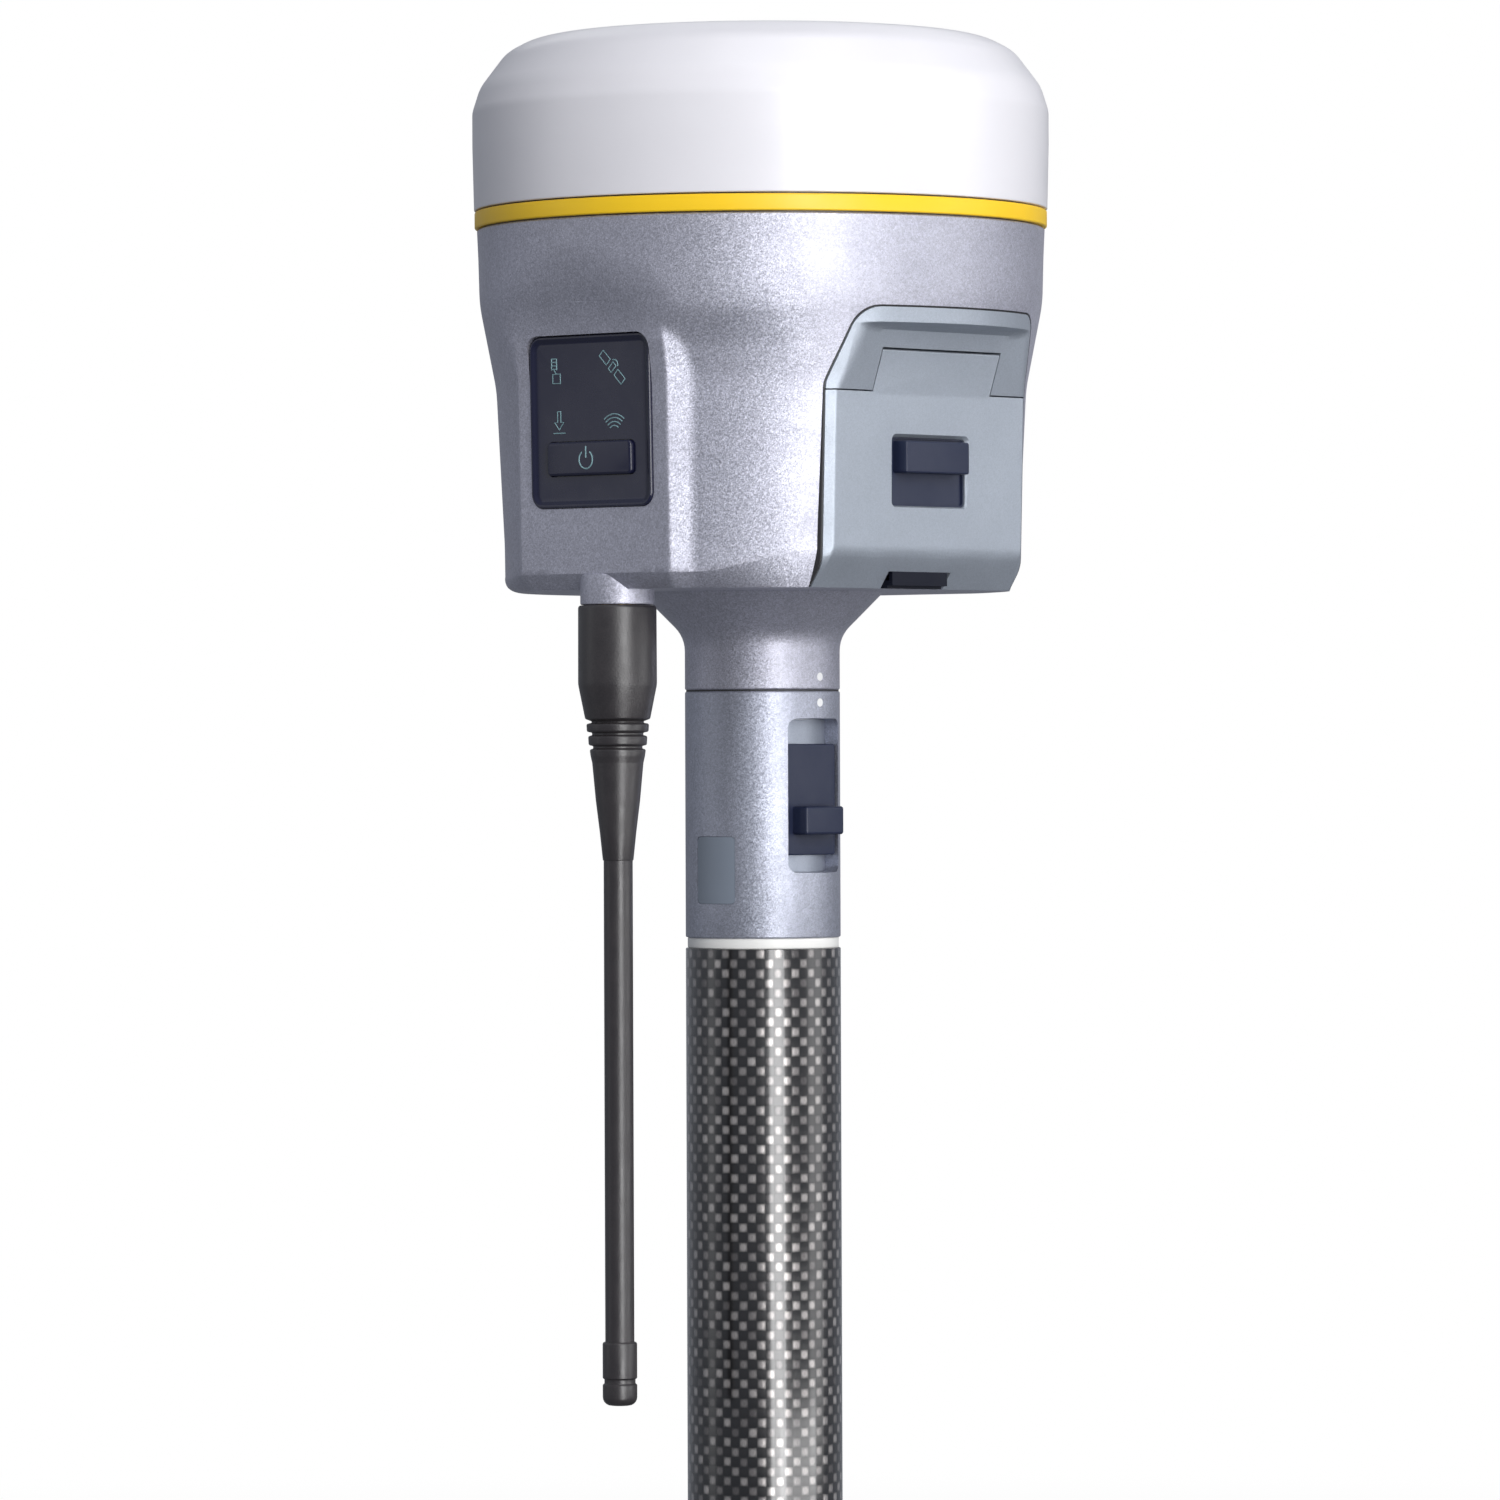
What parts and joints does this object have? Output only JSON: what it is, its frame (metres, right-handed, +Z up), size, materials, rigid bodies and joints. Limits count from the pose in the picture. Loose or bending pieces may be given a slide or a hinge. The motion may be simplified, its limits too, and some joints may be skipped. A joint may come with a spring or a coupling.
{
  "type": "gnss receiver",
  "caption": "GNSS rover receiver with radome, keypad, hinged battery door and whip antenna on a quick-release carbon pole section.",
  "frame": {"origin": "centre of the pole section's bottom face, at the mouth of its threaded socket", "axes": "+Z up along the pole to the radome's crown, -Y towards the keypad, +X towards the battery door"},
  "size_m": [0.119, 0.119, 0.4382],
  "materials": {
    "carbon": "clear-coated plain weave",
    "aluminium": "machined",
    "band": "satin",
    "sleeve": "metallic satin",
    "plate_grey": "matte",
    "steel": "brushed",
    "dark_plastic": "satin",
    "housing": "metallic satin",
    "rubber": "matte",
    "yellow": "satin",
    "radome": "satin gloss",
    "cover_plastic": "fine matte",
    "pack": "matte",
    "brass": "plated",
    "icons": "translucent",
    "board": "solder mask",
    "can": "tinned",
    "ceramic": "matte"
  },
  "bodies": {
    "pole_assembly": {"pole_tube": "carbon", "pole_foot_insert": "aluminium", "pole_top_plug": "aluminium", "end_band": "band", "adapter_core": "aluminium", "adapter_sleeve": "sleeve", "blank_plate": "plate_grey", "sleeve_screws": "steel"},
    "lock_slider": {"lock_plate": "dark_plastic", "cam_rod": "steel"},
    "pawl": {"latch_pawl": "steel"},
    "door": {"battery_door": "cover_plastic", "door_gasket": "rubber", "latch_tray": "dark_plastic"},
    "door_latch": {"latch_slider": "dark_plastic", "latch_bolt": "steel"},
    "button": {"power_button": "dark_plastic"},
    "port_flap": {"port_cover": "rubber"},
    "antenna_ring": {"whip_oring": "rubber"},
    "whip": {"whip_stud": "brass", "whip_sleeve": "rubber", "whip_rod": "rubber", "whip_cap": "rubber"},
    "receiver": {"lower_housing": "housing", "neck_collar": "housing", "seam_gaskets": "rubber", "accent_ring": "yellow", "radome": "radome", "neck_socket": "aluminium", "neck_screws": "steel", "pressure_vent": "dark_plastic", "hinge_cover": "cover_plastic", "hinge_pin": "steel", "cover_screws": "steel", "latch_keeper": "dark_plastic", "battery_bay": "dark_plastic", "battery_pack": "pack", "battery_contacts": "brass", "keypad_bezel": "dark_plastic", "status_windows": "icons", "keypad_gasket": "rubber", "keypad_board": "board", "port_hinge_pin": "steel", "antenna_port": "brass", "chassis_plate": "aluminium", "internal_screws": "steel", "board_standoffs": "brass", "antenna_standoffs": "brass", "main_board": "board", "antenna_board": "board", "power_board": "board", "positioning_module": "can", "processor_module": "can", "radio_module": "can", "amplifier_shield": "can", "coax_bullet": "brass", "antenna_coax": "brass", "antenna_element": "ceramic", "data_port": "can", "power_port": "can"}
  },
  "joints": [
    {"name": "receiver_lift", "type": "slide", "parent": "pole_assembly", "child": "receiver", "axis": [0, 0, 1], "range_m": [0, 0.045]},
    {"name": "lock_slide", "type": "slide", "parent": "pole_assembly", "child": "lock_slider", "axis": [0, 0, 1], "range_m": [0, 0.0035]},
    {"name": "pawl_slide", "type": "slide", "parent": "pole_assembly", "child": "pawl", "axis": [1, 0, 0], "range_m": [0, 0.0015]},
    {"name": "battery_door_hinge", "type": "hinge", "parent": "receiver", "child": "door", "pos_m": [0.0472, 0, 0.3698], "axis": [0, -1, 0], "range_deg": [0, 95]},
    {"name": "door_latch_slide", "type": "slide", "parent": "door", "child": "door_latch", "axis": [0, 0, -1], "range_m": [0, 0.0064]},
    {"name": "power_button_press", "type": "slide", "parent": "receiver", "child": "button", "axis": [0, 0.9986, 0.0523], "range_m": [0, 0.0006], "stiffness_N_per_m": 4000},
    {"name": "port_cover_hinge", "type": "hinge", "parent": "receiver", "child": "port_flap", "pos_m": [0, 0.0496, 0.3558], "axis": [1, 0, 0], "range_deg": [0, 88]},
    {"name": "antenna_travel", "type": "slide", "parent": "receiver", "child": "antenna_ring", "axis": [0, 0, -1], "range_m": [0, 0.0115]},
    {"name": "antenna_turn", "type": "hinge", "parent": "antenna_ring", "child": "whip", "pos_m": [0, -0.0435, 0.3202], "axis": [0, 0, -1], "range_deg": [0, 3960]}
  ],
  "couplings": [
    {"joint": "pawl_slide", "follows": "lock_slide", "ratio": 0.4286},
    {"joint": "antenna_travel", "follows": "antenna_turn", "m_per_rad": 0.00015915}
  ]
}
